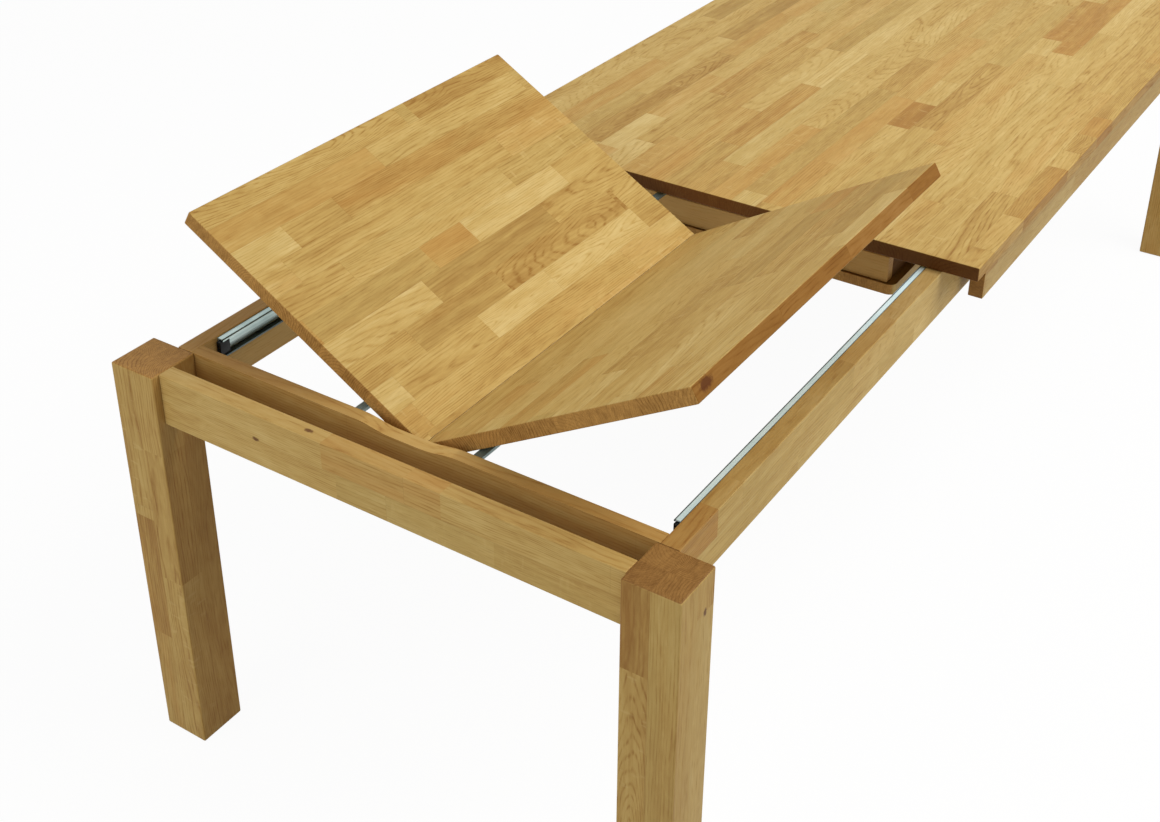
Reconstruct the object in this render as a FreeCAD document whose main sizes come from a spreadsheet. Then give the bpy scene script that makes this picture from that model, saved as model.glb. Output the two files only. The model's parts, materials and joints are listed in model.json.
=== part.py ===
import FreeCAD, Part
import os
import Sketcher

# Extending dining table. One end frame (two legs, a double end apron and two
# side rails) draws out from under a one-piece top on telescopic slides, and a
# hinged leaf in two halves opens in the gap. Millimetres. +X runs along the
# table away from the end that draws out, +Y is the left side seen from that
# end, +Z is up. The origin is on the floor under the middle of the table as
# it stands drawn out.

document = FreeCAD.newDocument("draw_leaf_table")
sheet = document.addObject("Spreadsheet::Sheet", "Sizes")

DRIVING_SIZES = [
    # whole table
    ("table_height", 750), ("top_length", 1780), ("top_width", 1000),
    ("top_thickness", 25), ("top_overhang", 10), ("top_round", 2),
    ("pull_out", 956), ("frame_clearance", 0.4),
    # legs and the glides they stand on
    ("leg_width", 86), ("leg_round", 3), ("glide_height", 3), ("glide_radius", 18),
    # aprons and rails, all one height
    ("apron_height", 87), ("board_round", 1.5),
    ("end_apron_thickness", 28), ("end_apron_setback", 14),
    ("inner_rail_thickness", 22), ("notch_mouth", 155), ("notch_floor", 77),
    ("notch_depth", 7), ("notch_round", 130),
    ("side_rail_thickness", 28), ("side_rail_setback", 52), ("side_rail_length", 1260),
    ("side_apron_thickness", 26), ("side_apron_setback", 10), ("side_apron_gap", 6),
    # telescopic slides, three nested channels each side
    ("slide_start", 140), ("slide_length", 1000), ("slide_drop", 2),
    ("slide_height", 33), ("slide_depth", 17), ("channel_wall", 2),
    ("outer_channel_depth", 12), ("channel_lip", 2), ("channel_bend", 2.5),
    ("middle_channel_start", 4), ("middle_channel_end", 14),
    ("middle_channel_inset", 4.4), ("fixed_channel_start", 8),
    ("fixed_channel_inset", 6.8), ("plug_length", 30), ("plug_nose", 14),
    ("plug_depth", 8), ("plug_height", 25), ("slide_beam_thickness", 22),
    # the two steel bars that bear the leaf, and their guides under the top
    ("bearer_spacing", 98), ("bearer_width", 14), ("bearer_height", 5),
    ("bearer_length", 1142), ("bearer_drop", 4.9), ("foot_thickness", 3),
    ("foot_width", 40), ("foot_height", 30), ("screw_spacing", 28),
    ("screw_radius", 2), ("screw_head_radius", 4), ("screw_head_height", 2.4),
    ("screw_length", 18), ("screw_drop", 19), ("screw_fit", 0.05),
    ("guide_length", 40), ("guide_width", 28), ("guide_height", 19),
    ("guide_start", 1100), ("guide_fit", 0.4),
    # storage tray under the top
    ("tray_start", 1064), ("tray_depth", 121), ("tray_wall", 22), ("tray_side", 20),
    ("tray_width", 598), ("tray_inside_length", 800), ("tray_wall_height", 51),
    ("tray_floor_thickness", 20), ("tray_floor_lip", 16), ("tray_nose", 6),
    ("tray_corner", 15),
    # the leaf, its crease and its three concealed hinges
    ("leaf_length", 772), ("leaf_half_width", 490), ("leaf_thickness", 24.6),
    ("leaf_gap", 17), ("leaf_corner", 3), ("leaf_round", 2), ("crease_gap", 0.25),
    ("fold_angle", 30.5), ("seat_gap", 0.536), ("hinge_inset", 100),
    ("barrel_radius", 9), ("barrel_length", 28), ("barrel_fit", 0.05),
    ("link_thickness", 4), ("link_reach", 7), ("link_top", 5.5), ("link_height", 12.5),
    ("link_play", 0.5), ("link_slot_reach", 8.5), ("link_slot_top", 4.8),
    ("link_slot_height", 15.2),
]
for row, (alias, amount) in enumerate(DRIVING_SIZES, start=1):
    sheet.set(f"A{row}", alias)
    sheet.set(f"B{row}", str(amount))
    sheet.setAlias(f"B{row}", alias)
document.recompute()


def total(*terms):
    """Join sizes and expressions into one sum."""
    return "(" + " + ".join(terms) + ")"


def minus(first, *rest):
    """Take every later size from the first."""
    return "(" + " - ".join((first,) + rest) + ")"


def half(term):
    return f"({term} / 2)"


class SizeNames:
    """size.leg_width gives the sheet's name for that size."""

    def __getattr__(self, alias):
        return "Sizes." + alias


size = SizeNames()

# Stations along the table, all from the outer face of the near legs.
OPENING = minus(size.pull_out, size.top_overhang)
NEAR_X = f"(-{half(total(OPENING, size.top_length))})"
TOP_X = total(NEAR_X, OPENING)
FAR_LEG_X = minus(total(TOP_X, size.top_length), size.top_overhang, size.leg_width)
INNER_RAIL_X = total(NEAR_X, size.leg_width)
BEARER_X = total(INNER_RAIL_X, size.inner_rail_thickness)
LEAF_X = total(BEARER_X, size.leaf_gap)
SLIDE_X = total(NEAR_X, size.slide_start)
FIXED_SLIDE_X = total(SLIDE_X, size.pull_out)
PLUG_INSIDE = minus(size.plug_length, size.plug_nose)
TRAY_X = total(NEAR_X, size.tray_start)

# Heights above the floor.
TOP_UNDERSIDE = minus(size.table_height, size.top_thickness)
FRAME_TOP = minus(TOP_UNDERSIDE, size.frame_clearance)
SLIDE_Z = minus(FRAME_TOP, size.slide_drop, size.slide_height)
BEARER_TOP = minus(TOP_UNDERSIDE, size.bearer_drop)
TRAY_FLOOR_TOP = minus(TOP_UNDERSIDE, size.tray_depth)

# The tilted halves bear on the inner edges of the two bars, so the crease hangs
# below those edges by the rise of a half on its way out to them.
SEAT_RISE = f"({size.bearer_spacing} * tan({size.fold_angle}))"
HALF_UPRIGHT = f"(({size.leaf_thickness} + {size.crease_gap}) / cos({size.fold_angle}))"
CREASE_Z = minus(total(BEARER_TOP, size.seat_gap, HALF_UPRIGHT), SEAT_RISE)

# Distances from the centreline.
LEG_FACE = minus(half(size.top_width), size.top_overhang)
LEG_INNER = minus(LEG_FACE, size.leg_width)
RAIL_OUTER = minus(LEG_FACE, size.side_rail_setback)
RAIL_INNER = minus(RAIL_OUTER, size.side_rail_thickness)
SLIDE_BEAM_FACE = minus(RAIL_INNER, size.slide_depth)

nodes = []
TOUCH = 0.01  # how near counts as touching when an edge is looked up by its place


def value(expression):
    """The number an expression of sheet sizes stands for."""
    return float(sheet.evalExpression(expression))


def place(item, x, y, z, yaw="0", roll="0"):
    """Bind an object's position, its turn about Z and its tilt about its own X."""
    item.setExpression("Placement.Base.x", x)
    item.setExpression("Placement.Base.y", y)
    item.setExpression("Placement.Base.z", z)
    item.setExpression("Placement.Rotation.Yaw", yaw)
    item.setExpression("Placement.Rotation.Roll", roll)


def origin_plane(body, role):
    return next(f for f in body.Origin.OriginFeatures if f.Role == role)


def outline_sketch(body, name, role, corners):
    """Closed outline of straight lines with every corner tied to the sheet."""
    sketch = body.newObject("Sketcher::SketchObject", name)
    sketch.AttachmentSupport = [(origin_plane(body, role), "")]
    sketch.MapMode = "FlatFace"
    spots = [FreeCAD.Vector(value(across), value(up), 0) for across, up in corners]
    count = len(spots)
    for i in range(count):
        sketch.addGeometry(Part.LineSegment(spots[i], spots[(i + 1) % count]), False)
    for i in range(count):
        sketch.addConstraint(Sketcher.Constraint("Coincident", i, 2, (i + 1) % count, 1))
    for i, (across, up) in enumerate(corners):
        tie = sketch.addConstraint(Sketcher.Constraint("DistanceX", -1, 1, i, 1, spots[i].x))
        sketch.setExpression(f"Constraints[{tie}]", across)
        tie = sketch.addConstraint(Sketcher.Constraint("DistanceY", -1, 1, i, 1, spots[i].y))
        sketch.setExpression(f"Constraints[{tie}]", up)
    return sketch


def circle_sketch(body, name, role, centres, radius):
    """Equal circles with their centres and radius tied to the sheet."""
    sketch = body.newObject("Sketcher::SketchObject", name)
    sketch.AttachmentSupport = [(origin_plane(body, role), "")]
    sketch.MapMode = "FlatFace"
    for i, (across, up) in enumerate(centres):
        centre = FreeCAD.Vector(value(across), value(up), 0)
        sketch.addGeometry(
            Part.Circle(centre, FreeCAD.Vector(0, 0, 1), value(radius)), False)
        tie = sketch.addConstraint(Sketcher.Constraint("DistanceX", -1, 1, i, 3, centre.x))
        sketch.setExpression(f"Constraints[{tie}]", across)
        tie = sketch.addConstraint(Sketcher.Constraint("DistanceY", -1, 1, i, 3, centre.y))
        sketch.setExpression(f"Constraints[{tie}]", up)
        tie = sketch.addConstraint(Sketcher.Constraint("Radius", i, value(radius)))
        sketch.setExpression(f"Constraints[{tie}]", radius)
    return sketch


def rectangle(left, low, right, high):
    return [(left, low), (right, low), (right, high), (left, high)]


def new_body(label):
    body = document.addObject("PartDesign::Body", label)
    body.Label = label
    nodes.append(body)
    return body


def pad(body, sketch, length, backwards=False):
    feature = body.newObject("PartDesign::Pad", "Pad")
    feature.Profile = sketch
    feature.Reversed = backwards
    feature.setExpression("Length", length)
    document.recompute()
    return feature


def pocket(body, sketch, depth, backwards=False):
    """Cut a pocket, and make sure that it took material away."""
    before = body.Shape.Volume
    feature = body.newObject("PartDesign::Pocket", "Pocket")
    feature.Profile = sketch
    feature.Reversed = backwards
    feature.setExpression("Length", depth)
    document.recompute()
    if not body.Shape.Volume < before - 1:
        raise RuntimeError(f"{body.Label}: {sketch.Name} cut nothing")
    return feature


def fillet(body, base, edges, radius):
    feature = body.newObject("PartDesign::Fillet", "Fillet")
    feature.Base = (base, edges)
    feature.setExpression("Radius", radius)
    document.recompute()
    return feature


def board(label, along, across, high, x, y, z, rounding, yaw="0"):
    """A straight board from its own corner, every edge eased."""
    body = new_body(label)
    base = outline_sketch(body, "Base", "XY_Plane", rectangle("0", "0", along, across))
    block = pad(body, base, high)
    names = [f"Edge{n}" for n in range(1, len(block.Shape.Edges) + 1)]
    fillet(body, block, names, rounding)
    place(body, x, y, z, yaw)
    return body


def board_pair(name, along, across, high, x, y, z, rounding):
    """The same board on the left and, turned half round, on the right."""
    left = board(f"{name}_left", along, across, high, x, y, z, rounding)
    right = board(f"{name}_right", along, across, high,
                  total(x, along), f"(-{y})", z, rounding, "180")
    return left, right


def channel_pair(name, section, x, length, bend=None):
    """A bar of one section on each side rail's inner face, depth measured inwards."""
    for side, yaw in (("left", "180"), ("right", "0")):
        body = new_body(f"{name}_{side}")
        profile = outline_sketch(body, "Section", "YZ_Plane", section)
        bar = pad(body, profile, length)
        if bend:
            mouth = value(size.outer_channel_depth)
            rims = [
                f"Edge{n}" for n, edge in enumerate(bar.Shape.Edges, start=1)
                if edge.Length > 2 * mouth and edge.Vertexes[0].Point.y > mouth - TOUCH
                and min(abs(edge.Vertexes[0].Point.z - level)
                        for level in (0, value(size.slide_height))) < TOUCH
            ]
            fillet(body, bar, rims, bend)
        start = total(x, length) if side == "left" else x
        across = RAIL_INNER if side == "left" else f"(-{RAIL_INNER})"
        place(body, start, across, SLIDE_Z, yaw)


def box(name, along, across, high, x, y, z):
    item = document.addObject("Part::Box", name)
    item.setExpression("Length", along)
    item.setExpression("Width", across)
    item.setExpression("Height", high)
    place(item, x, y, z)
    return item


def cylinder(name, radius, high, x, y, z, roll="0", yaw="0"):
    item = document.addObject("Part::Cylinder", name)
    item.setExpression("Radius", radius)
    item.setExpression("Height", high)
    place(item, x, y, z, yaw, roll)
    return item


def cut(name, base, tool):
    item = document.addObject("Part::Cut", name)
    item.Base = base
    item.Tool = tool
    return item


def group(label, items):
    """Separate solids of one kind kept as one sub-part."""
    item = document.addObject("Part::Compound", label)
    item.Label = label
    item.Links = items
    nodes.append(item)
    return item


# --- The fixed table: top, far legs, aprons ---------------------------------

board("table_top", size.top_length, size.top_width, size.top_thickness,
      TOP_X, f"(-{half(size.top_width)})", TOP_UNDERSIDE, size.top_round)

board_pair("far_leg", size.leg_width, size.leg_width,
           minus(TOP_UNDERSIDE, size.glide_height),
           FAR_LEG_X, LEG_INNER, size.glide_height, size.leg_round)

SIDE_APRON_X = total(NEAR_X, size.pull_out, size.leg_width, size.side_apron_gap)
board_pair("side_apron", minus(FAR_LEG_X, SIDE_APRON_X), size.side_apron_thickness,
           size.apron_height, SIDE_APRON_X,
           minus(LEG_FACE, size.side_apron_setback, size.side_apron_thickness),
           minus(TOP_UNDERSIDE, size.apron_height), size.board_round)

board("far_end_apron", size.end_apron_thickness, f"(2 * {LEG_INNER})", size.apron_height,
      minus(total(FAR_LEG_X, size.leg_width), size.end_apron_setback, size.end_apron_thickness),
      f"(-{LEG_INNER})", minus(TOP_UNDERSIDE, size.apron_height), size.board_round)

# --- Storage tray under the top ----------------------------------------------

TRAY_WALL_X = total(TRAY_X, size.tray_nose)
TRAY_INSIDE_X = total(TRAY_WALL_X, size.tray_wall)
TRAY_FLOOR_LENGTH = total(size.tray_nose, size.tray_wall, size.tray_inside_length,
                          size.tray_wall, size.tray_nose)
TRAY_FLOOR_WIDTH = total(size.tray_width, "2 * Sizes.tray_floor_lip")

tray_floor = new_body("tray_floor")
floor_outline = outline_sketch(tray_floor, "Base", "XY_Plane",
                               rectangle("0", "0", TRAY_FLOOR_LENGTH, TRAY_FLOOR_WIDTH))
floor_pad = pad(tray_floor, floor_outline, size.tray_floor_thickness)
floor_corners = [
    f"Edge{n}" for n, edge in enumerate(floor_pad.Shape.Edges, start=1)
    if abs(edge.Vertexes[0].Point.z - edge.Vertexes[1].Point.z) > 1
]
fillet(tray_floor, floor_pad, floor_corners, size.tray_corner)
place(tray_floor, TRAY_X, f"(-{half(TRAY_FLOOR_WIDTH)})",
      minus(TRAY_FLOOR_TOP, size.tray_floor_thickness))

for name, x in (("tray_front_wall", TRAY_WALL_X),
                ("tray_rear_wall", total(TRAY_INSIDE_X, size.tray_inside_length))):
    board(name, size.tray_wall, size.tray_width, size.tray_wall_height,
          x, f"(-{half(size.tray_width)})", TRAY_FLOOR_TOP, size.board_round)

board_pair("tray_side", size.tray_inside_length, size.tray_side, size.tray_depth,
           TRAY_INSIDE_X, minus(half(size.tray_width), size.tray_side),
           TRAY_FLOOR_TOP, size.board_round)

# --- The end frame that draws out --------------------------------------------

board_pair("near_leg", size.leg_width, size.leg_width,
           minus(FRAME_TOP, size.glide_height),
           NEAR_X, LEG_INNER, size.glide_height, size.leg_round)

board("end_apron", size.end_apron_thickness, f"(2 * {LEG_INNER})", size.apron_height,
      total(NEAR_X, size.end_apron_setback), f"(-{LEG_INNER})",
      minus(FRAME_TOP, size.apron_height), size.board_round)

board_pair("side_rail", size.side_rail_length, size.side_rail_thickness, size.apron_height,
           INNER_RAIL_X, RAIL_INNER, minus(FRAME_TOP, size.apron_height), size.board_round)

# The inner rail has a shallow notch in its top edge, with easy slopes, that
# lets the leaf's hinges pass over it, and pilot holes for the bearers' feet.
rail = new_body("inner_end_rail")
rail_outline = outline_sketch(rail, "Base", "YZ_Plane", [
    (f"(-{RAIL_INNER})", "0"), (RAIL_INNER, "0"), (RAIL_INNER, size.apron_height),
    (half(size.notch_mouth), size.apron_height),
    (half(size.notch_floor), minus(size.apron_height, size.notch_depth)),
    (f"(-{half(size.notch_floor)})", minus(size.apron_height, size.notch_depth)),
    (f"(-{half(size.notch_mouth)})", size.apron_height),
    (f"(-{RAIL_INNER})", size.apron_height),
])
rail_pad = pad(rail, rail_outline, size.inner_rail_thickness)
notch_limit = value(half(size.notch_mouth)) + TOUCH
notch_level = value(minus(size.apron_height, size.notch_depth)) - TOUCH
thickness = value(size.inner_rail_thickness)
notch_edges = [
    f"Edge{n}" for n, edge in enumerate(rail_pad.Shape.Edges, start=1)
    if abs(edge.Length - thickness) < TOUCH
    and abs(edge.Vertexes[0].Point.y) < notch_limit and edge.Vertexes[0].Point.z > notch_level
]
fillet(rail, rail_pad, notch_edges, size.notch_round)

SCREW_HEIGHT_ON_RAIL = minus(BEARER_TOP, size.screw_drop,
                             minus(FRAME_TOP, size.apron_height))
BEARER_CENTRE = total(size.bearer_spacing, half(size.bearer_width))
SCREW_OFFSETS = [
    minus(BEARER_CENTRE, half(size.screw_spacing)),
    total(BEARER_CENTRE, half(size.screw_spacing)),
]
screw_spots = [(spot, SCREW_HEIGHT_ON_RAIL) for spot in SCREW_OFFSETS]
screw_spots += [(f"(-{spot})", SCREW_HEIGHT_ON_RAIL) for spot in SCREW_OFFSETS]
pilot_circles = circle_sketch(rail, "Pilots", "YZ_Plane", screw_spots,
                              total(size.screw_radius, size.screw_fit))
pilot_circles.setExpression("AttachmentOffset.Base.z", size.inner_rail_thickness)
pocket(rail, pilot_circles, minus(size.screw_length, size.foot_thickness))
place(rail, INNER_RAIL_X, "0", minus(FRAME_TOP, size.apron_height))

# --- Telescopic slides -------------------------------------------------------


def lipped_section(back):
    """The outermost channel: web on the rail, two flanges and a lip on each flange."""
    low_inside, high_inside = size.channel_wall, minus(size.slide_height, size.channel_wall)
    low_lip, high_lip = total(low_inside, size.channel_lip), minus(high_inside, size.channel_lip)
    web, lip = size.channel_wall, minus(back, size.channel_wall)
    return [("0", "0"), (back, "0"), (back, low_lip), (lip, low_lip), (lip, low_inside),
            (web, low_inside), (web, high_inside), (lip, high_inside), (lip, high_lip),
            (back, high_lip), (back, size.slide_height), ("0", size.slide_height)]


def channel_section(front, back, inset, web_at_back):
    """A channel open towards the rail or towards the beam, walls of one gauge."""
    low = inset
    high = minus(size.slide_height, inset)
    low_inside = total(inset, size.channel_wall)
    high_inside = minus(size.slide_height, inset, size.channel_wall)
    if web_at_back:
        web = minus(back, size.channel_wall)
        return [(front, low), (back, low), (back, high), (front, high),
                (front, high_inside), (web, high_inside), (web, low_inside),
                (front, low_inside)]
    web = total(front, size.channel_wall)
    return [(front, low), (back, low), (back, low_inside), (web, low_inside),
            (web, high_inside), (back, high_inside), (back, high), (front, high)]


# A black plug closes the near end of the outer channel and stops the other two,
# which are shorter by the part of the plug that stands inside.
INNER_LENGTH = minus(size.slide_length, PLUG_INSIDE)
channel_pair("slide_outer", lipped_section(size.outer_channel_depth), SLIDE_X,
             size.slide_length, size.channel_bend)
channel_pair("slide_middle",
             channel_section(size.middle_channel_start, size.middle_channel_end,
                             size.middle_channel_inset, False),
             total(SLIDE_X, half(size.pull_out), PLUG_INSIDE), INNER_LENGTH)
channel_pair("slide_fixed",
             channel_section(size.fixed_channel_start, size.slide_depth,
                             size.fixed_channel_inset, True),
             total(FIXED_SLIDE_X, PLUG_INSIDE), INNER_LENGTH)

board_pair("slide_stop", size.plug_length, size.plug_depth, size.plug_height,
           minus(SLIDE_X, size.plug_nose),
           minus(RAIL_INNER, size.channel_wall, size.plug_depth),
           total(SLIDE_Z, half(minus(size.slide_height, size.plug_height))), size.board_round)

board_pair("slide_beam", total(size.slide_length, size.plug_nose),
           size.slide_beam_thickness, size.apron_height, FIXED_SLIDE_X,
           minus(SLIDE_BEAM_FACE, size.slide_beam_thickness),
           minus(TOP_UNDERSIDE, size.apron_height), size.board_round)

# --- Leaf bearers, their screws and their guides ------------------------------

SCREW_Z = minus(BEARER_TOP, size.screw_drop)
screws = []
for side, sign in (("left", ""), ("right", "-")):
    bar_low = f"({sign}{BEARER_CENTRE} - {half(size.bearer_width)})"
    bar = box(f"bearer_bar_{side}", size.bearer_length, size.bearer_width,
              size.bearer_height, BEARER_X, bar_low,
              minus(BEARER_TOP, size.bearer_height))
    foot = box(f"bearer_foot_{side}", size.foot_thickness, size.foot_width,
               size.foot_height, BEARER_X,
               f"({sign}{BEARER_CENTRE} - {half(size.foot_width)})",
               minus(BEARER_TOP, size.foot_height))
    joined = document.addObject("Part::Fuse", f"bearer_blank_{side}")
    joined.Base = bar
    joined.Tool = foot
    blank = joined
    for number, spot in enumerate(SCREW_OFFSETS, start=1):
        hole = cylinder(f"foot_hole_{side}_{number}",
                        total(size.screw_radius, size.screw_fit),
                        size.foot_thickness, BEARER_X, f"({sign}{spot})", SCREW_Z,
                        roll="-90", yaw="-90")
        blank = cut(f"bearer_drilled_{side}_{number}", blank, hole)
        shank = cylinder(f"shank_{side}_{number}", size.screw_radius, size.screw_length,
                         minus(total(BEARER_X, size.foot_thickness), size.screw_length),
                         f"({sign}{spot})", SCREW_Z, roll="-90", yaw="-90")
        head = cylinder(f"head_{side}_{number}", size.screw_head_radius,
                        size.screw_head_height, total(BEARER_X, size.foot_thickness),
                        f"({sign}{spot})", SCREW_Z, roll="-90", yaw="-90")
        screw = document.addObject("Part::Fuse", f"screw_{side}_{number}")
        screw.Base = shank
        screw.Tool = head
        screws.append(screw)
    blank.Label = f"leaf_bearer_{side}"
    nodes.append(blank)

    guide_low = f"({sign}{BEARER_CENTRE} - {half(size.guide_width)})"
    guide_block = box(f"guide_block_{side}", size.guide_length, size.guide_width,
                      size.guide_height, total(NEAR_X, size.guide_start), guide_low,
                      minus(TOP_UNDERSIDE, size.guide_height))
    guide_slot = box(f"guide_slot_{side}", size.guide_length,
                     total(size.bearer_width, "2 * Sizes.guide_fit"),
                     total(size.bearer_height, size.bearer_drop, size.guide_fit),
                     total(NEAR_X, size.guide_start),
                     f"({bar_low} - {size.guide_fit})",
                     minus(BEARER_TOP, size.bearer_height, size.guide_fit))
    guide = cut(f"bearer_guide_{side}", guide_block, guide_slot)
    nodes.append(guide)
group("bearer_screws", screws)

# --- The leaf ----------------------------------------------------------------
# Each half is drawn flat in its own frame, whose X axis is the crease line
# just above the top face, and then tilted about it.

HINGE_STATIONS = [size.hinge_inset, half(size.leaf_length),
                  minus(size.leaf_length, size.hinge_inset)]
BARREL_Z = f"(-{size.crease_gap} - {half(size.leaf_thickness)})"

for side, yaw in (("left", "0"), ("right", "180")):
    crease_x = LEAF_X if side == "left" else total(LEAF_X, size.leaf_length)

    panel = new_body(f"leaf_half_{side}")
    face = outline_sketch(panel, "Face", "XY_Plane",
                          rectangle("0", size.crease_gap, size.leaf_length,
                                    size.leaf_half_width))
    face.setExpression("AttachmentOffset.Base.z", f"-{size.crease_gap}")
    slab = pad(panel, face, size.leaf_thickness, backwards=True)
    outer = value(size.leaf_half_width) - TOUCH
    corner_edges = [
        f"Edge{n}" for n, edge in enumerate(slab.Shape.Edges, start=1)
        if abs(edge.Vertexes[0].Point.z - edge.Vertexes[1].Point.z) > 1
        and edge.Vertexes[0].Point.y > outer
    ]
    cornered = fillet(panel, slab, corner_edges, size.leaf_corner)
    inner = value(size.crease_gap) + TOUCH
    rim_edges = [
        f"Edge{n}" for n, edge in enumerate(cornered.Shape.Edges, start=1)
        if abs(edge.Vertexes[0].Point.z - edge.Vertexes[-1].Point.z) < TOUCH
        and max(vertex.Point.y for vertex in edge.Vertexes) > inner
    ]
    fillet(panel, cornered, rim_edges, size.leaf_round)
    barrel_circles = circle_sketch(panel, "Barrels", "XZ_Plane",
                                   [(station, BARREL_Z) for station in HINGE_STATIONS],
                                   total(size.barrel_radius, size.barrel_fit))
    pocket(panel, barrel_circles, total(size.crease_gap, size.barrel_length),
           backwards=False)
    place(panel, crease_x, "0", CREASE_Z, yaw, size.fold_angle)

    barrels = []
    for number, station in enumerate(HINGE_STATIONS, start=1):
        barrel = cylinder(f"barrel_{side}_{number}", size.barrel_radius,
                          size.barrel_length, station, size.crease_gap, BARREL_Z,
                          roll="-90")
        slot = box(f"barrel_slot_{side}_{number}",
                   total(size.link_thickness, "2 * Sizes.link_play"),
                   minus(size.link_slot_reach, size.crease_gap), size.link_slot_height,
                   minus(station, half(size.link_thickness), size.link_play),
                   size.crease_gap, f"(-{size.link_slot_top} - {size.link_slot_height})")
        barrels.append(cut(f"slotted_barrel_{side}_{number}", barrel, slot))
    barrel_set = group(f"hinge_barrels_{side}", barrels)
    place(barrel_set, crease_x, "0", CREASE_Z, yaw, size.fold_angle)

links = [
    box(f"link_{number}", size.link_thickness, "(2 * Sizes.link_reach)", size.link_height,
        minus(station, half(size.link_thickness)), f"(-{size.link_reach})",
        f"(-{size.link_top} - {size.link_height})")
    for number, station in enumerate(HINGE_STATIONS, start=1)
]
link_set = group("hinge_links", links)
place(link_set, LEAF_X, "0", CREASE_Z)

# --- Glides under the legs -----------------------------------------------------

for name, x in (("near_glides", NEAR_X), ("far_glides", FAR_LEG_X)):
    discs = []
    for side, sign in (("left", ""), ("right", "-")):
        discs.append(cylinder(f"{name}_{side}", size.glide_radius, size.glide_height,
                              total(x, half(size.leg_width)),
                              f"({sign}{total(LEG_INNER, half(size.leg_width))})", "0"))
    group(name, discs)

# --- Check and export ----------------------------------------------------------

document.recompute()
for item in document.Objects:
    if any(word in str(item.State) for word in ("Invalid", "Error")):
        raise RuntimeError(f"{item.Name} did not rebuild: {item.State}")

os.makedirs("parts", exist_ok=True)
for node in nodes:
    shape = node.Shape
    if shape.isNull() or not shape.isValid():
        raise RuntimeError(f"{node.Label} has no valid shape")
    shape.exportStep(os.path.join("parts", f"{node.Label}.step"))
    bounds = shape.BoundBox
    print(f"{node.Label}: {len(shape.Solids)} solid(s), {shape.Volume / 1000:.1f} cm3, "
          f"x {bounds.XMin:.1f}..{bounds.XMax:.1f} y {bounds.YMin:.1f}..{bounds.YMax:.1f} "
          f"z {bounds.ZMin:.1f}..{bounds.ZMax:.1f}")
print(len(nodes), "sub-parts")
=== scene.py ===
# %% [markdown]
# # An extending oak table, dressed
# The construction of this table is already made and packed: legs, rails, slides, a leaf in two
# halves and a one-piece top. This script loads it as a fixed frame and gives it its looks: oiled
# oak glued up from short staves, zinc-plated slides, bright steel bearers and a few small fittings.
# All lengths are metres, +X runs along the table away from the end that draws out, +Z is up.

# %% Load the frame
import json
import math

import bmesh
import bpy
from mathutils import Euler, Matrix, Vector


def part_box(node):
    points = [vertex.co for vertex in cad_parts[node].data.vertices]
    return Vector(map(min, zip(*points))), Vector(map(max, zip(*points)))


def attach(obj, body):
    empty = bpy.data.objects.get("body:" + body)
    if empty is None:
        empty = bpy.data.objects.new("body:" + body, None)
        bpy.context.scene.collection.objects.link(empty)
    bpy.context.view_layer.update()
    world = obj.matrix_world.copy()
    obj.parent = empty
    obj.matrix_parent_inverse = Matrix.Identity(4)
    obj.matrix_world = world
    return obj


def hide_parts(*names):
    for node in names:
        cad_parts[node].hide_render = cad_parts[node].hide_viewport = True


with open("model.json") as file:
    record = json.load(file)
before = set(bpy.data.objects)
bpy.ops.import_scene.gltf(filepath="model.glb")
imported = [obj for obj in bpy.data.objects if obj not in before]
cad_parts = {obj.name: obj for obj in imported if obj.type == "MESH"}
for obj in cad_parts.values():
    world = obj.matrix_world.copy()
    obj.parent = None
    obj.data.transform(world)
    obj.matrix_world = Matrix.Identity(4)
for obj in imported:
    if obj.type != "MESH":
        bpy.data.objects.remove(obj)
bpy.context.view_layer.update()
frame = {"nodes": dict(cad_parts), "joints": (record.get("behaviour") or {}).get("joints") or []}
nodes = frame["nodes"]
scene = bpy.context.scene

# %% [markdown]
# ## The camera
# Furniture is usually shown from standing height, looking down along the table. The camera is
# placed by plain facts: where it stands, how it is turned about the vertical, how far it looks
# down, and a trace of roll. A small shift lifts the horizon, as a view camera's rising back does,
# so that the near legs stay in the picture.

# %% Camera
PICTURE_WIDTH, PICTURE_HEIGHT = 1160, 822
FOCAL_PIXELS = 1575.0
CENTRE_ROW = 250.0
CAMERA_PLACE = Vector((-2.6458, -1.1832, 1.9770))
CAMERA_HEADING = math.radians(-56.82)
CAMERA_TILT = math.radians(28.08)
CAMERA_ROLL = math.radians(0.18)
SENSOR_WIDTH, FAR_CLIP = 36.0, 60.0

camera_data = bpy.data.cameras.new("camera")
camera = bpy.data.objects.new("camera", camera_data)
scene.collection.objects.link(camera)
scene.camera = camera
camera_data.sensor_width = SENSOR_WIDTH
camera_data.lens = FOCAL_PIXELS * SENSOR_WIDTH / PICTURE_WIDTH
camera_data.shift_y = (CENTRE_ROW - PICTURE_HEIGHT / 2) / PICTURE_WIDTH
camera_data.clip_end = FAR_CLIP
camera.location = CAMERA_PLACE
camera.rotation_euler = (
    Matrix.Rotation(CAMERA_HEADING, 4, "Z")
    @ Matrix.Rotation(math.pi / 2 - CAMERA_TILT, 4, "X")
    @ Matrix.Rotation(CAMERA_ROLL, 4, "Z")
).to_euler()
print(f"camera: {camera_data.lens:.1f} mm lens, shift {camera_data.shift_y:.3f}")

# %% [markdown]
# ## Node helpers
# A material is a tree of nodes. Adding a node, filling its inputs and wiring it takes several
# lines each time, so `put` does the three together: an input is given either a number or the
# output socket of another node. `calc` and `blend` are short names for the two commonest nodes.

# %% Helpers for node trees
scene.view_settings.view_transform = "Standard"


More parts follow.
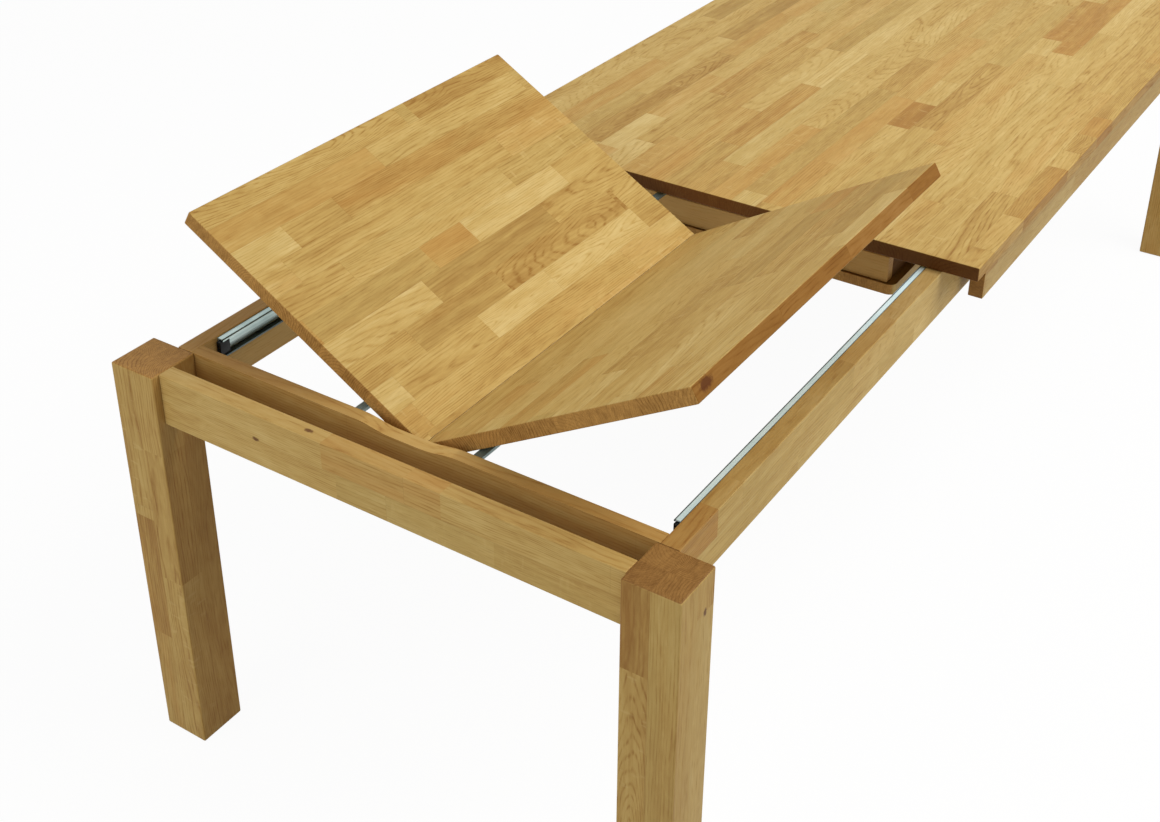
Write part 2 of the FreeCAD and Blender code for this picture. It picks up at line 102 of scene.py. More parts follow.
def put(tree, kind, inputs=None, **settings):
    """Add a node, set its properties, and fill its inputs with values or sockets."""
    node = tree.nodes.new(kind)
    for name, value in settings.items():
        setattr(node, name, value)
    for name, value in (inputs or {}).items():
        if isinstance(value, bpy.types.NodeSocket):
            tree.links.new(value, node.inputs[name])
        else:
            node.inputs[name].default_value = value
    return node


def calc(tree, operation, *values):
    """One sum, product or comparison of numbers or sockets."""
    return put(tree, "ShaderNodeMath", dict(enumerate(values)), operation=operation).outputs[0]


def blend(tree, amount, first, second, kind="RGBA", mode="MIX"):
    """Go from first to second by amount, for colours or plain numbers."""
    node = tree.nodes.new("ShaderNodeMix")
    node.data_type = kind
    if kind == "RGBA":
        node.blend_type = mode
    sockets = {s.name + s.type: s for s in node.inputs if s.enabled}
    short = "RGBA" if kind == "RGBA" else "VALUE"
    wanted = {"FactorVALUE": amount, "A" + short: first, "B" + short: second}
    for name, value in wanted.items():
        if isinstance(value, bpy.types.NodeSocket):
            tree.links.new(value, sockets[name])
        else:
            sockets[name].default_value = value
    return next(s for s in node.outputs if s.enabled)


def remap(tree, value, low, high, new_low=0.0, new_high=1.0):
    """Stretch the range low..high of a value to a new range, and stop at its ends."""
    node = put(tree, "ShaderNodeMapRange", {"Value": value, "From Min": low, "From Max": high,
                                            "To Min": new_low, "To Max": new_high})
    return node.outputs[0]


def tint(red, green, blue):
    """A colour as a painter reads it off a chart, 0 to 255, turned into light."""
    parts = [v / 255 for v in (red, green, blue)]
    linear = [v / 12.92 if v <= 0.04045 else ((v + 0.055) / 1.055) ** 2.4 for v in parts]
    return (*linear, 1.0)


def ramp(tree, value, stops):
    """A colour ramp from (place, colour) pairs."""
    node = put(tree, "ShaderNodeValToRGB", {"Fac": value})
    band = node.color_ramp.elements
    while len(band) < len(stops):
        band.new(0.5)
    for element, (place, colour) in zip(band, stops):
        element.position = place
        element.color = colour
    return node.outputs[0]


def new_group(name, takes, gives):
    """An empty node group with its sockets, its input node and its output node."""
    tree = bpy.data.node_groups.new(name, "ShaderNodeTree")
    for label, kind in takes:
        tree.interface.new_socket(label, in_out="INPUT", socket_type=kind)
    for label, kind in gives:
        tree.interface.new_socket(label, in_out="OUTPUT", socket_type=kind)
    return tree, tree.nodes.new("NodeGroupInput").outputs, tree.nodes.new("NodeGroupOutput").inputs


# %% [markdown]
# ## Material helpers
# Every finish on the table ends the same way: a colour and a roughness that change over the
# surface go into one shader, and a height becomes fine relief through a Bump node. What is the
# same all over, such as how metallic a metal is, is set on the shader itself.

# %% Helpers for materials
def split_xyz(tree, vector):
    """A vector's three parts."""
    return put(tree, "ShaderNodeSeparateXYZ", {0: vector}).outputs


def split_colour(tree, colour):
    """A colour's three parts, which serve as three chances where the colour is random."""
    return put(tree, "ShaderNodeSeparateColor", {0: colour}).outputs


def vector_calc(tree, operation, *vectors):
    """One sum, product or the like of vectors, part by part."""
    return put(tree, "ShaderNodeVectorMath", dict(enumerate(vectors)), operation=operation).outputs[0]


def noise(tree, place, scale, detail=2.0, **more):
    """A noise texture's value, round one half."""
    return put(tree, "ShaderNodeTexNoise",
               {"Vector": place, "Scale": scale, "Detail": detail, **more}).outputs[0]


def blank_material(name):
    """A new material and its emptied node tree."""
    material = bpy.data.materials.new(name)
    material.use_nodes = True
    material.node_tree.nodes.clear()
    return material, material.node_tree


def surface(tree, colour, rough, height, strength, depth, same_all_over):
    """The shader with its relief, and the material's output."""
    relief = put(tree, "ShaderNodeBump", {"Height": height, "Strength": strength, "Distance": depth})
    shader = put(tree, "ShaderNodeBsdfPrincipled", {
        "Base Color": colour, "Roughness": rough, "Normal": relief.outputs[0], **same_all_over})
    put(tree, "ShaderNodeOutputMaterial", {"Surface": shader.outputs[0]})


# %% [markdown]
# ## Staves
# Tables of this kind are glued up from short oak staves: long rows of one width, each row made
# of pieces of uneven length, butted end to end. What the eye reads is the jump in tone from one
# stave to the next, so the first group only answers the question "which stave is this point in?"
# Rows come from dividing by the stave's width. Along a row, a Voronoi texture in one dimension
# gives cells of uneven length, each with its own random colour, which is exactly a row of staves.

# %% Stave layout group
NUMBER, VECTOR, COLOUR = "NodeSocketFloat", "NodeSocketVector", "NodeSocketColor"
TONE_SPREAD, HAIR, UNEVEN_LENGTHS = 0.54, 0.002, 0.9
# Uneven numbers set the rows, the layers and their random starts far apart.
ROW_KEY, LAYER_KEY, START_SPREAD = 7.31, 31.7, 400.0
STRIPS_A_LAYER = 10.0
JOINT_CORE, JOINT_RIM = 0.0001, 0.0006


def stave_layout():
    """The group that says which stave a point is in, and where in that stave it lies."""
    tree, given, made = new_group(
        "stave_layout",
        [("Place", VECTOR), ("Width", NUMBER), ("Depth", NUMBER), ("Length", NUMBER),
         ("Seed", NUMBER)],
        [("Strip", NUMBER), ("Tone", NUMBER), ("Chance", COLOUR), ("Across", NUMBER),
         ("Inward", NUMBER), ("Joint", NUMBER)])
    along, across, inward = split_xyz(tree, given["Place"])
    rows = calc(tree, "DIVIDE", across, given["Width"])
    layers = calc(tree, "DIVIDE", inward, given["Depth"])
    # A board's far faces lie just where the next row would start, so both counts hang back a hair.
    row, layer = (calc(tree, "MAXIMUM", calc(tree, "FLOOR", calc(tree, "SUBTRACT", count, HAIR)), 0.0)
                  for count in (rows, layers))
    layer_key = calc(tree, "MULTIPLY_ADD", layer, LAYER_KEY, given["Seed"])
    key = calc(tree, "MULTIPLY_ADD", row, ROW_KEY, layer_key)
    start = put(tree, "ShaderNodeTexWhiteNoise", {"W": key}, noise_dimensions="1D").outputs["Value"]
    station = calc(tree, "MULTIPLY_ADD", start, START_SPREAD,
                   calc(tree, "DIVIDE", along, given["Length"]))
    cells = {"W": station, "Scale": 1.0, "Randomness": UNEVEN_LENGTHS}
    staves = put(tree, "ShaderNodeTexVoronoi", cells, voronoi_dimensions="1D")
    butt = put(tree, "ShaderNodeTexVoronoi", cells, voronoi_dimensions="1D",
               feature="DISTANCE_TO_EDGE").outputs["Distance"]
    chance = staves.outputs["Color"]
    first, _, third = split_colour(tree, chance)
    # The mean of two chances makes middling tones common and very dark or pale ones rare.
    tone = calc(tree, "MULTIPLY_ADD", calc(tree, "ADD", first, third), TONE_SPREAD / 2,
                0.5 - TONE_SPREAD / 2)
    in_row = calc(tree, "SUBTRACT", calc(tree, "SUBTRACT", rows, row), 0.5)
    in_layer = calc(tree, "SUBTRACT", calc(tree, "SUBTRACT", layers, layer), 0.5)
    end_gap = calc(tree, "MULTIPLY", butt, given["Length"])
    side_gap = calc(tree, "MULTIPLY", calc(tree, "SUBTRACT", 0.5, calc(tree, "ABSOLUTE", in_row)),
                    given["Width"])
    gap = calc(tree, "MINIMUM", end_gap, side_gap)
    strip = calc(tree, "MULTIPLY_ADD", layer, STRIPS_A_LAYER, row)
    for name, value in (("Strip", strip), ("Tone", tone), ("Chance", chance),
                        ("Across", calc(tree, "MULTIPLY", in_row, given["Width"])),
                        ("Inward", calc(tree, "MULTIPLY", in_layer, given["Depth"])),
                        ("Joint", remap(tree, gap, JOINT_CORE, JOINT_RIM, 1.0, 0.0))):
        tree.links.new(value, made[name])
    return tree


LAYOUT = stave_layout()
print("stave layout:", len(LAYOUT.nodes), "nodes")

# %% [markdown]
# ## Colours and textures of oak
# Oiled oak runs from a dark tan to a pale straw, some staves redder and some greener than the
# rest. Its textures are all noise, pulled long with the grain by far more changes a metre across
# it than along it. Each stave reads them at its own far-off place, so no figure crosses a joint.

# %% Oak's colours and textures
DARK_OAK, TAN_OAK = tint(158, 116, 58), tint(178, 140, 76)
HONEY_OAK, STRAW_OAK, PALE_OAK = tint(195, 161, 93), tint(206, 175, 108), tint(217, 190, 127)
RED_OAK, GREEN_OAK, PORE_BROWN = tint(192, 140, 72), tint(182, 156, 92), tint(132, 92, 44)
END_DARK, END_PALE, END_PORE = tint(134, 94, 46), tint(200, 152, 84), tint(104, 66, 30)
# Painted shade: the first two colours on the next line darken faces that lie in shadow; the knot brown
# is the wood's own.
PAINTED_SHADE_BROWN, PAINTED_EDGE_SHADE_TINT, KNOT_BROWN = tint(84, 46, 18), tint(190, 160, 132), tint(92, 50, 26)

# Each texture's changes a metre along, across and into the stave, its detail and its swirl.
OAK_TEXTURES = {
    "sway": ((4.0, 22.0, 22.0), 2.0, 0.0), "runs": ((30.0, 330.0, 330.0), 2.0, 0.0),
    "streaks": ((7.0, 260.0, 260.0), 3.0, 0.0), "mottle": ((18.0, 80.0, 80.0), 3.0, 0.8),
    "clouds": ((5.0, 22.0, 22.0), 3.0, 0.6), "warmth": ((4.0, 30.0, 30.0), 2.0, 0.5),
    "dashes": ((44.0, 640.0, 640.0), 2.0, 0.0), "flecks": ((90.0, 30.0, 30.0), 2.0, 0.0),
    "dots": ((300.0, 900.0, 900.0), 1.0, 0.0), "rays": ((20.0, 420.0, 80.0), 3.0, 0.0)}
STAVES_APART = (9.0, 7.0, 5.0)
OAK_NOISE_ROUGHNESS = 0.55


def oak_textures(tree, place):
    """Every texture above, at a place in a stave."""
    made = {}
    for name, (stretch, detail, swirl) in OAK_TEXTURES.items():
        where = vector_calc(tree, "MULTIPLY", place, stretch)
        made[name] = noise(tree, where, 1.0, detail, Roughness=OAK_NOISE_ROUGHNESS, Distortion=swirl)
    return made


def drift(tree, base, texture, amount):
    """Move a tone up and down with a texture that stays round one half."""
    return calc(tree, "MULTIPLY_ADD", calc(tree, "SUBTRACT", texture, 0.5), amount, base)


# %% [markdown]
# ## Growth rings
# Inside a stave the figure comes from the tree it was sawn from. Growth rings are cylinders about
# a pith that lies somewhere outside the stave and leans a little, so a stave sawn near the pith's
# line shows arches and one sawn beside it shows straight lines. Each stave gets its own pith by
# chance. The distance to it, bent a little by slow noise, is counted in rings, and in every ring
# the coarse early wood rises and falls like a hump.

# %% Growth rings
PITH_ASIDE, PITH_LEAN, STEM_WAVE = 0.13, 0.13, 0.30
PITH_NEAR, PITH_FAR = 0.012, 0.050
RING_SWAY = 0.009
FINE_RING, COARSE_RING = 0.0026, 0.0060
EARLY_WOOD = 0.24


def growth_rings(tree, along, given, chances, texture):
    """The distance to the stave's own pith, and the hump of early wood in each ring."""
    lean_chance, side_chance, depth_chance, pitch_chance = chances[:4]
    pith_side = remap(tree, side_chance, 0.0, 1.0, -PITH_ASIDE, PITH_ASIDE)
    side = calc(tree, "SUBTRACT", given["Across"], pith_side)
    lean = calc(tree, "MULTIPLY_ADD", lean_chance, 2 * PITH_LEAN, -PITH_LEAN)
    pith_depth = remap(tree, depth_chance, 0.0, 1.0, PITH_NEAR, PITH_FAR)
    deep = calc(tree, "ADD", given["Inward"], pith_depth)
    deep = calc(tree, "MULTIPLY_ADD", calc(tree, "PINGPONG", along, STEM_WAVE), lean, deep)
    reach = calc(tree, "SQRT", calc(tree, "ADD", calc(tree, "MULTIPLY", side, side),
                                    calc(tree, "MULTIPLY", deep, deep)))
    sway = calc(tree, "MULTIPLY_ADD", texture["sway"], 2 * RING_SWAY, -RING_SWAY)
    pitch = remap(tree, pitch_chance, 0.0, 1.0, FINE_RING, COARSE_RING)
    ring = calc(tree, "FRACT", calc(tree, "DIVIDE", calc(tree, "ADD", reach, sway), pitch))
    from_top = calc(tree, "ABSOLUTE", calc(tree, "SUBTRACT", ring, EARLY_WOOD))
    return reach, remap(tree, from_top, 0.0, EARLY_WOOD, 1.0, 0.0)


# %% [markdown]
# ## Planed faces
# A planed face starts from its stave's tone. Clouds, streaks and mottle move that tone, a wide
# flame follows the rings on some staves, and early wood darkens it a little. Then come the hue,
# the fine pores that run with the grain, silvery flecks on some staves, and the thin glue joint.

# %% Planed faces
TONE_DRIFTS = {"clouds": 0.70, "streaks": 0.45, "mottle": 0.60}
FLAME_BEND, FLAME_WIDTH, FLAME_DRIFT = 0.030, 0.011, 0.22
HUE_DRIFT, TONE_LIFT = 0.9, 0.07
# A remap's two ends and what they become.
RED_HUES, GREEN_HUES = (0.65, 1.25, 0.0, 0.63), (0.35, -0.05, 0.0, 0.36)
FIGURE_DEPTH, PORE_DEPTH = (0.0, 1.0, 0.14, 0.46), (0.0, 1.0, 0.14, 0.44)
FLECK_SPOTS, FLECKED_STAVES = (0.60, 0.70), (0.75, 0.90)
FLECK_DEPTH, JOINT_DEPTH = 0.28, 0.22


def planed_face(tree, given, chances, texture, reach, early_wood, pores):
    """The colour of planed wood."""
    _, hue_chance, pore_chance, flame_chance, fleck_chance, figure_chance = chances
    tone = given["Tone"]
    for name, amount in TONE_DRIFTS.items():
        tone = drift(tree, tone, texture[name], amount)
    bent_reach = calc(tree, "MULTIPLY_ADD", texture["clouds"], FLAME_BEND, reach)
    flame = calc(tree, "PINGPONG", calc(tree, "DIVIDE", bent_reach, FLAME_WIDTH), 1.0)
    tone = drift(tree, tone, flame, calc(tree, "MULTIPLY", flame_chance, FLAME_DRIFT))
    figure = calc(tree, "MULTIPLY", early_wood, remap(tree, figure_chance, *FIGURE_DEPTH))
    tone = calc(tree, "ADD", calc(tree, "SUBTRACT", tone, figure), TONE_LIFT)
    face = ramp(tree, tone, [(0.0, DARK_OAK), (0.25, TAN_OAK), (0.50, HONEY_OAK),
                             (0.75, STRAW_OAK), (1.0, PALE_OAK)])
    hue = drift(tree, hue_chance, texture["warmth"], HUE_DRIFT)
    face = blend(tree, remap(tree, hue, *RED_HUES), face, RED_OAK)
    face = blend(tree, remap(tree, hue, *GREEN_HUES), face, GREEN_OAK)
    pore_depth = remap(tree, pore_chance, *PORE_DEPTH)
    face = blend(tree, calc(tree, "MULTIPLY", pores, pore_depth), face, PORE_BROWN)
    flecks = calc(tree, "MULTIPLY", remap(tree, texture["flecks"], *FLECK_SPOTS),
                  remap(tree, fleck_chance, *FLECKED_STAVES))
    face = blend(tree, calc(tree, "MULTIPLY", flecks, FLECK_DEPTH), face, PALE_OAK)
    return blend(tree, calc(tree, "MULTIPLY", given["Joint"], JOINT_DEPTH), face, PORE_BROWN)


# %% [markdown]
# ## Sawn ends
# End grain drinks more oil, so it is darker and browner than a planed face. It shows the rings as
# lines, rays across them, and the pores as open dots.

# %% Sawn ends
END_TONE_SHARE, END_TONE_BASE, END_TONE_TOP = 0.52, 0.38, 0.9
END_RING_DEPTH = (0.0, 1.0, -0.15, -0.50)
END_DRIFTS = {"mottle": 0.8, "rays": 0.9}
END_DOTS, END_DOT_DEPTH = (0.50, 0.70), 0.34


def sawn_end(tree, given, chances, texture, hump):
    """The colour of end grain."""
    tone = calc(tree, "MULTIPLY_ADD", given["Tone"], END_TONE_SHARE, END_TONE_BASE)
    tone = calc(tree, "MULTIPLY_ADD", hump, remap(tree, chances[5], *END_RING_DEPTH), tone)
    for name, amount in END_DRIFTS.items():
        tone = drift(tree, tone, texture[name], amount)
    end = blend(tree, remap(tree, tone, 0.0, END_TONE_TOP), END_DARK, END_PALE)
    dots = remap(tree, texture["dots"], *END_DOTS)
    end = blend(tree, calc(tree, "MULTIPLY", dots, END_DOT_DEPTH), end, END_PORE)
    # End Shade lays painted shade over the end, mostly where it lies in shadow; part of it is end
    # grain's own darker oil.
    return blend(tree, given["End Shade"], end, PAINTED_SHADE_BROWN)


# %% [markdown]
# ## The oak group
# The second group joins all this. Seen from a few steps away, oiled oak shows its rings only
# faintly and in short broken runs, so one noise rubs the early wood out in places. Which way a
# face points, in the board's own frame, says whether it is planed or sawn. Each board may have
# its edges, ends or faces darkened with painted shade, for the shadow they lie in; on sawn ends
# part of that darkening is end grain's own darker oil.

# %% Oak grain group
RUN_BREAKS, PORE_DASHES = (0.36, 0.62, 0.10, 1.0), (0.46, 0.64)
PORES_IN_EARLY_WOOD, PORES_ELSEWHERE = 0.70, 0.30
FACING_TURN = (0.55, 0.80)
KNOT_DEPTH = 0.85
OAK_ROUGHNESS, PORE_ROUGHNESS, STREAK_ROUGHNESS = 0.44, 0.16, 0.16
PORE_HEIGHT, EARLY_WOOD_HEIGHT, JOINT_HEIGHT = -0.7, -0.3, -1.0


def oak_grain():
    """The group that turns a stave's place, tone and chances into oak."""
    tree, given, made = new_group(
        "oak_grain",
        [("Place", VECTOR), ("Facing", VECTOR), ("Across", NUMBER), ("Inward", NUMBER),
         ("Tone", NUMBER), ("Chance", COLOUR), ("Joint", NUMBER), ("Knot", NUMBER),
         ("End Shade", NUMBER), ("Edge Shade", NUMBER), ("Face Shade", NUMBER)],
        [("Color", COLOUR), ("Roughness", NUMBER), ("Height", NUMBER)])
    more = put(tree, "ShaderNodeTexWhiteNoise", {"Vector": given["Chance"]},
               noise_dimensions="3D").outputs["Color"]
    chances = [*split_colour(tree, given["Chance"]), *split_colour(tree, more)]
    along = split_xyz(tree, given["Place"])[0]
    local = put(tree, "ShaderNodeCombineXYZ",
                {0: along, 1: given["Across"], 2: given["Inward"]}).outputs[0]
    own_place = vector_calc(tree, "ADD", local, vector_calc(tree, "MULTIPLY", more, STAVES_APART))
    texture = oak_textures(tree, own_place)

    reach, hump = growth_rings(tree, along, given, chances, texture)
    early_wood = calc(tree, "MULTIPLY", hump, remap(tree, texture["runs"], *RUN_BREAKS))
    pores = calc(tree, "MULTIPLY", remap(tree, texture["dashes"], *PORE_DASHES),
                 calc(tree, "MULTIPLY_ADD", early_wood, PORES_IN_EARLY_WOOD, PORES_ELSEWHERE))
    face = planed_face(tree, given, chances, texture, reach, early_wood, pores)
    end = sawn_end(tree, given, chances, texture, hump)

    # Sawn ends face along the grain, edges across it and the broad faces into it.
    on_end, on_edge, on_face = [
        remap(tree, part, *FACING_TURN)
        for part in split_xyz(tree, vector_calc(tree, "ABSOLUTE", given["Facing"]))]
    # Painted shade: the Edge Shade and Face Shade amounts darken edges and faces that lie in shadow.
    face = blend(tree, calc(tree, "MULTIPLY", on_edge, given["Edge Shade"]), face, PAINTED_EDGE_SHADE_TINT,
                 mode="MULTIPLY")
    face = blend(tree, calc(tree, "MULTIPLY", on_face, given["Face Shade"]), face, PAINTED_SHADE_BROWN)
    colour = blend(tree, on_end, face, end)
    colour = blend(tree, calc(tree, "MULTIPLY", given["Knot"], KNOT_DEPTH), colour, KNOT_BROWN)

    rough = calc(tree, "MULTIPLY_ADD", pores, PORE_ROUGHNESS, calc(
        tree, "MULTIPLY_ADD", texture["streaks"], STREAK_ROUGHNESS, OAK_ROUGHNESS))
    height = calc(tree, "MULTIPLY_ADD", pores, PORE_HEIGHT, calc(
        tree, "MULTIPLY_ADD", early_wood, EARLY_WOOD_HEIGHT,
        calc(tree, "MULTIPLY", given["Joint"], JOINT_HEIGHT)))
    for name, value in (("Color", colour), ("Roughness", rough), ("Height", height)):
        tree.links.new(value, made[name])
    return tree


GRAIN = oak_grain()
print("oak grain:", len(GRAIN.nodes), "nodes")

# %% [markdown]
# ## One board, one material
# Every board needs the same oak turned its own way: with the grain along the table, across it
# or up a leg, and with its rows counted from its own edge. A Texture-type Mapping node undoes a
# place and a turn, so a board's local frame is enough: X with the grain, Y across the rows and
# Z into the board. Some staves stand out on a real table, a short dark one or a pale one with
# arches. Those are listed as (strip, from, to, tone, chance) and laid over the random ones;
# a strip's number is its row, plus ten for each layer below the first. A knot is a soft-edged
# spot about a point on the board, nearly twice as long with the grain as across it.

# %% Oak material for one board
WITH_TABLE = Euler((0.0, 0.0, 0.0))
WITH_TABLE_ON_EDGE = Euler((math.pi / 2, 0.0, 0.0))
ACROSS_ON_EDGE = Euler((math.pi / 2, 0.0, math.pi / 2))
UP_A_LEG = Euler((0.0, -math.pi / 2, 0.0))
KNOT_STRETCH, KNOT_WOBBLE_SCALE, KNOT_CORE = (0.55, 1.0, 1.0), 220.0, 0.55
SAME_STRIP = 0.4
OAK_RELIEF, OAK_RELIEF_DEPTH = 0.28, 0.0004
SHADES = {"end_shade": "End Shade", "edge_shade": "Edge Shade", "face_shade": "Face Shade"}


def knot_mask(tree, place, spots):
    """One inside any of the (point, radius) spots, fading to nothing at their rims."""
    mask = None
    wobble = noise(tree, place, KNOT_WOBBLE_SCALE)
    for spot, radius in spots:
        away = vector_calc(tree, "MULTIPLY", vector_calc(tree, "SUBTRACT", place, spot), KNOT_STRETCH)
        reach = put(tree, "ShaderNodeVectorMath", {0: away}, operation="LENGTH").outputs["Value"]
        reach = calc(tree, "MULTIPLY_ADD", calc(tree, "SUBTRACT", wobble, 0.5), radius, reach)
        here = remap(tree, reach, radius * KNOT_CORE, radius, 1.0, 0.0)
        mask = here if mask is None else calc(tree, "MAXIMUM", mask, here)
    return mask


def oak(name, corner, turn, stave, depth, length, seed, picked=(), knots=(), gloss=0.14, **shades):
    """Oak for a board whose local frame starts at corner and is turned by turn.

    Shades are end_shade, edge_shade and face_shade, from 0 to 1: painted shade on the board's ends,
    edges and faces where they lie in shadow.
    """
    material, tree = blank_material(name)
    coordinates = put(tree, "ShaderNodeTexCoord").outputs
    place = put(tree, "ShaderNodeMapping",
                {"Vector": coordinates["Object"], "Location": corner, "Rotation": turn},
                vector_type="TEXTURE").outputs[0]
    facing = put(tree, "ShaderNodeMapping", {"Vector": coordinates["Normal"], "Rotation": turn},
                 vector_type="TEXTURE").outputs[0]
    layout = put(tree, "ShaderNodeGroup", node_tree=LAYOUT)
    tree.links.new(place, layout.inputs["Place"])
    for label, value in (("Width", stave), ("Depth", depth), ("Length", length), ("Seed", seed)):
        layout.inputs[label].default_value = value
    tone, chance = layout.outputs["Tone"], layout.outputs["Chance"]
    along = split_xyz(tree, place)[0]
    for strip, start, stop, own_tone, own_chance in picked:
        on_row = calc(tree, "COMPARE", layout.outputs["Strip"], float(strip), SAME_STRIP)
        between = calc(tree, "COMPARE", along, (start + stop) / 2, (stop - start) / 2)
        here = calc(tree, "MULTIPLY", on_row, between)
        tone = blend(tree, here, tone, own_tone, kind="FLOAT")
        chance = blend(tree, here, chance, (*own_chance, 1.0))
    grain = put(tree, "ShaderNodeGroup", node_tree=GRAIN)
    for label, value in (("Place", place), ("Facing", facing), ("Across", layout.outputs["Across"]),
                         ("Inward", layout.outputs["Inward"]), ("Tone", tone), ("Chance", chance),
                         ("Joint", layout.outputs["Joint"])):
        tree.links.new(value, grain.inputs[label])
    if knots:
        undo = turn.to_matrix().inverted()
        spots = [(undo @ (Vector(point) - Vector(corner)), radius) for point, radius in knots]
        tree.links.new(knot_mask(tree, place, spots), grain.inputs["Knot"])
    for shade, amount in shades.items():
        grain.inputs[SHADES[shade]].default_value = amount
    surface(tree, grain.outputs["Color"], grain.outputs["Roughness"], grain.outputs["Height"],
            OAK_RELIEF, OAK_RELIEF_DEPTH, {"Specular IOR Level": gloss})
    return material


def dress(name, material):
    """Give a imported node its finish."""
    node = nodes[name]
    node.data.materials.clear()
    node.data.materials.append(material)


def dress_board(name, turn, rows, layers, length, seed, **more):
    """Fit whole rows of staves to a board that lies square in the frame."""
    low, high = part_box(name)
    size = high - low
    axes = turn.to_matrix()
    extent = [abs(axes.col[i].dot(size)) for i in range(3)]
    corner = (low + high) / 2 - axes @ Vector(extent) / 2
    dress(name, oak("oak_" + name, corner, turn, extent[1] / rows, extent[2] / layers,
                    length, seed, **more))


# %% [markdown]
# ## The top, the legs and the frame
# The top is twenty-two rows wide, with the outer two trimmed, the legs are glued from four long
# strips each, and every rail is two strips high. The seeds only shuffle the staves.

# %% Dress the table's boards
LEG_STRIPS, RAIL_ROWS = 2, 2
TOP_STAVE, LEG_STAVE, RAIL_STAVE = 0.48, 0.55, 0.46
TOP_SEED, LEG_SEED, LONG_RAIL_SEED, CROSS_RAIL_SEED = 3.0, 11.0, 23.0, 41.0
# Painted shade on the top's sawn ends and long edges; on the ends part of it is end grain's own darker
# oil.
TOP_END_SHADE, TOP_EDGE_SHADE, TOP_GLOSS = 0.84, 0.40, 0.09
STRAIGHT, ARCHED = (0.5, 0.35, 0.3), (0.15, 0.50, 0.2)
REDDISH, VERY_RED, GREENISH = (0.8, 0.95, 0.5), (0.8, 0.999, 0.3), (0.3, 0.05, 0.9)

TOP_ROW, TOP_THICKNESS, FIRST_ROW_TRIM = 0.0465, 0.025, 0.009
top_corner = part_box("table_top")[0] - Vector((0.0, FIRST_ROW_TRIM, 0.0))
dress("table_top", oak(
    "oak_table_top", top_corner, WITH_TABLE, TOP_ROW, TOP_THICKNESS, TOP_STAVE, TOP_SEED,
    gloss=TOP_GLOSS, end_shade=TOP_END_SHADE, edge_shade=TOP_EDGE_SHADE, picked=[
        (7, 0.462, 0.600, 0.02, REDDISH), (8, 0.025, 0.237, 0.42, (0.7, 0.99, 0.4)),
        (12, 0.562, 1.225, 0.78, STRAIGHT), (17, 0.081, 0.625, 0.28, ARCHED),
        (16, 0.075, 0.250, 0.80, STRAIGHT), (4, 1.025, 1.463, 0.24, REDDISH),
        (5, 1.100, 1.400, 0.20, REDDISH), (3, 1.200, 1.500, 0.76, STRAIGHT),
        (11, 0.000, 0.137, 0.34, (0.6, 0.72, 0.5)), (9, 0.050, 0.625, 0.36, GREENISH),
        (0, 0.212, 0.450, 0.26, (0.7, 0.80, 0.5)), (0, 0.625, 0.725, 0.22, REDDISH)]))

# %% Dress the legs
leg_picks = {
    "near_leg_right": [(11, 0.581, 0.722, 0.14, (0.5, 0.60, 0.5)), (11, 0.0, 0.581, 0.42, ARCHED),
                       (10, 0.0, 0.722, 0.42, (0.5, 0.10, 0.4)), (0, 0.0, 0.665, 0.66, GREENISH),
                       (0, 0.665, 0.722, 0.40, (0.5, 0.50, 0.4))],
    "near_leg_left": [(11, 0.206, 0.444, 0.18, (0.5, 0.66, 0.5)), (11, 0.444, 0.722, 0.42, STRAIGHT),
                      (10, 0.580, 0.722, 0.46, STRAIGHT), (10, 0.334, 0.580, 0.36, (0.5, 0.50, 0.5)),
                      (10, 0.0, 0.334, 0.46, (0.4, 0.40, 0.4)), (0, 0.0, 0.722, 0.32, (0.2, 0.50, 0.3))],
    "far_leg_right": [(11, 0.0, 0.722, 0.48, VERY_RED), (10, 0.0, 0.722, 0.52, VERY_RED)]}
# Painted shade on the near legs' tops, fronts and sides.
leg_looks = {"near_leg_right": {"end_shade": 0.46, "face_shade": 0.08,
                                "knots": [((-1.301, -0.490, 0.668), 0.0045)]},
             "near_leg_left": {"end_shade": 0.12, "face_shade": 0.05, "edge_shade": 0.30}}
for seed, name in enumerate(("near_leg_left", "near_leg_right", "far_leg_left", "far_leg_right")):
    dress_board(name, UP_A_LEG, LEG_STRIPS, LEG_STRIPS, LEG_STAVE, LEG_SEED + seed,
                picked=leg_picks.get(name, ()), **leg_looks.get(name, {}))

# %% Dress the rails and the tray
TRAY_FLOOR_ROWS, TRAY_FLOOR_SEED, TRAY_WALL_SEED, TRAY_SIDE_SEED = 13, 51.0, 57.0, 61.0
# Painted shade: on the long rails' sawn ends, and nearly brown-black on the tray's sides, which lie deep
# under the top.
SAWN_RAIL_SHADE = 0.3
painted_deep_shade = {"face_shade": 0.9, "end_shade": 0.9, "gloss": 0.02}
